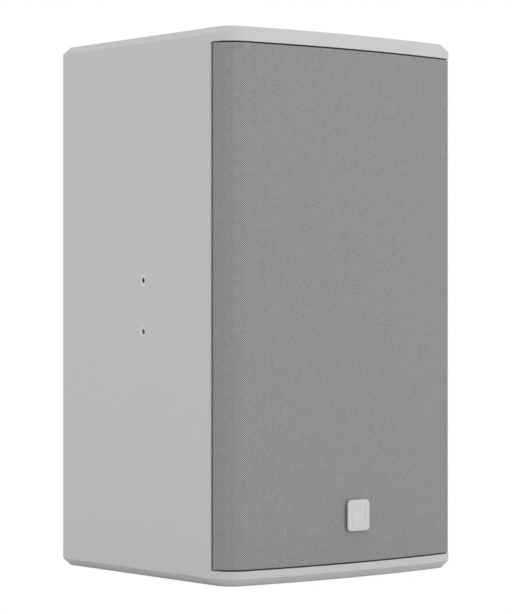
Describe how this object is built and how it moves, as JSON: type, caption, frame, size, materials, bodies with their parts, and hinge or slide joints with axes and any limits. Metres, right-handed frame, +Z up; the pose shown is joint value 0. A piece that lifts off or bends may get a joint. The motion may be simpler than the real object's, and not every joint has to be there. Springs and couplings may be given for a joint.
{
  "type": "loudspeaker",
  "caption": "Two-way loudspeaker in a tapered plywood cabinet with a bowed wrap-round perforated grille, chamfered ends, side inserts and a turning badge.",
  "frame": {"origin": "centre of the outside box's underside, on the surface that the cabinet stands on", "axes": "+Z up the cabinet, -Y out of the bowed front, +X to the right of someone who faces the front"},
  "size_m": [0.3206, 0.315, 0.528],
  "materials": {
    "badge_satin": "satin paint, plain border groove",
    "baffle_paint": "matt black paint on plywood",
    "birch_ply": "raw birch plywood",
    "black_casting": "black e-coat",
    "black_plastic": "moulded, lightly textured",
    "black_rubber": "matt rubber",
    "black_screws": "black oxide steel",
    "cabinet_paint": "satin textured white paint on birch plywood",
    "cap_paper": "pulp dust cap",
    "ceramic_resistor": "cement ceramic",
    "circuit_board": "solder mask",
    "coil_tape": "polyester tape over the winding",
    "cone_paper": "pulp cone",
    "copper_wire": "enamelled copper wire",
    "ferrite": "ground ferrite",
    "film_capacitor": "wrapped film",
    "foil_former": "aluminium foil",
    "green_plastic": "moulded",
    "grille_foam": "black open-cell foam",
    "grille_paint": "fine matt white powder coat, micro-perforated",
    "horn_plastic": "glass-filled plastic, fine texture",
    "knob_plastic": "moulded",
    "laminated_iron": "stacked laminations",
    "nylon_posts": "natural nylon",
    "phenolic": "phenolic board",
    "plated_iron": "zinc-plated soft iron",
    "polymer_film": "polyimide film",
    "softwood": "raw planed pine",
    "spider_cloth": "resin-stiffened cloth",
    "spring_steel": "spring steel",
    "surround_rubber": "butyl rubber",
    "switch_plastic": "moulded",
    "tinned_brass": "tinned brass",
    "titanium_dome": "titanium foil",
    "wadding": "polyester wadding",
    "wire_insulation": "PVC insulation",
    "zinc_steel": "bright zinc plate"
  },
  "bodies": {
    "cabinet": {"back_panel": "cabinet_paint", "board_posts": "nylon_posts", "bottom_panel": "cabinet_paint", "cabinet_brace": "birch_ply", "contact_terminals": "tinned_brass", "crossover_board": "circuit_board", "crossover_capacitors": "film_capacitor", "crossover_resistors": "ceramic_resistor", "cup_screws": "black_screws", "damping_pads": "wadding", "front_baffle": "baffle_paint", "glue_battens": "softwood", "grille_sockets": "black_rubber", "hf_clamp_ring": "black_plastic", "hf_magnet": "ferrite", "hf_phase_plug": "black_plastic", "hf_pole_piece": "plated_iron", "hf_rear_cover": "black_casting", "hf_suspension": "polymer_film", "hf_top_plate": "plated_iron", "inductor_bobbins": "black_plastic", "inductor_windings": "copper_wire", "inner_screws": "zinc_steel", "input_cup": "black_plastic", "internal_leads": "wire_insulation", "left_side_panel": "cabinet_paint", "port_tubes": "black_plastic", "right_side_panel": "cabinet_paint", "selector_switch": "switch_plastic", "terminal_header": "green_plastic", "threaded_inserts": "zinc_steel", "top_panel": "cabinet_paint", "transformer_bracket": "zinc_steel", "transformer_coil": "coil_tape", "transformer_core": "laminated_iron", "waveguide": "horn_plastic", "waveguide_screws": "black_screws", "woofer_basket": "black_casting", "woofer_gasket": "black_rubber", "woofer_magnet": "ferrite", "woofer_pole_piece": "plated_iron", "woofer_screws": "black_screws", "woofer_spider": "spider_cloth", "woofer_surround": "surround_rubber", "woofer_terminal_block": "phenolic", "woofer_top_plate": "plated_iron"},
    "grille": {"grille_shell": "grille_paint", "grille_foam": "grille_foam", "grille_pegs": "black_plastic"},
    "badge": {"badge": "badge_satin", "badge_clip": "spring_steel"},
    "woofer_motor": {"woofer_cone": "cone_paper", "woofer_dust_cap": "cap_paper", "coil_former": "foil_former", "voice_coil": "copper_wire"},
    "hf_motor": {"hf_diaphragm": "titanium_dome", "hf_voice_coil": "copper_wire"},
    "selector": {"selector_knob": "knob_plastic"},
    "plug": {"terminal_plug": "green_plastic", "clamp_screws": "zinc_steel"}
  },
  "joints": [
    {"name": "grille_pull", "type": "slide", "parent": "cabinet", "child": "grille", "axis": [0, -1, 0], "range_m": [0, 0.06]},
    {"name": "badge_turn", "type": "hinge", "parent": "grille", "child": "badge", "pos_m": [0, -0.155, 0.0612], "axis": [0, -1, 0], "range_deg": [-90, 90]},
    {"name": "woofer_stroke", "type": "slide", "parent": "cabinet", "child": "woofer_motor", "axis": [0, -1, 0], "range_m": [-0.006, 0.006], "stiffness_N_per_m": 3000, "deforming": ["woofer_surround", "woofer_spider"]},
    {"name": "hf_stroke", "type": "slide", "parent": "cabinet", "child": "hf_motor", "axis": [0, -1, 0], "range_m": [-0.0003, 0.0003], "stiffness_N_per_m": 3000, "deforming": ["hf_suspension"]},
    {"name": "selector_turn", "type": "hinge", "parent": "cabinet", "child": "selector", "pos_m": [0.028, 0.127, 0.15], "axis": [0, -1, 0], "range_deg": [0, 150]},
    {"name": "plug_pull", "type": "slide", "parent": "cabinet", "child": "plug", "axis": [0, 1, 0], "range_m": [0, 0.02]}
  ]
}
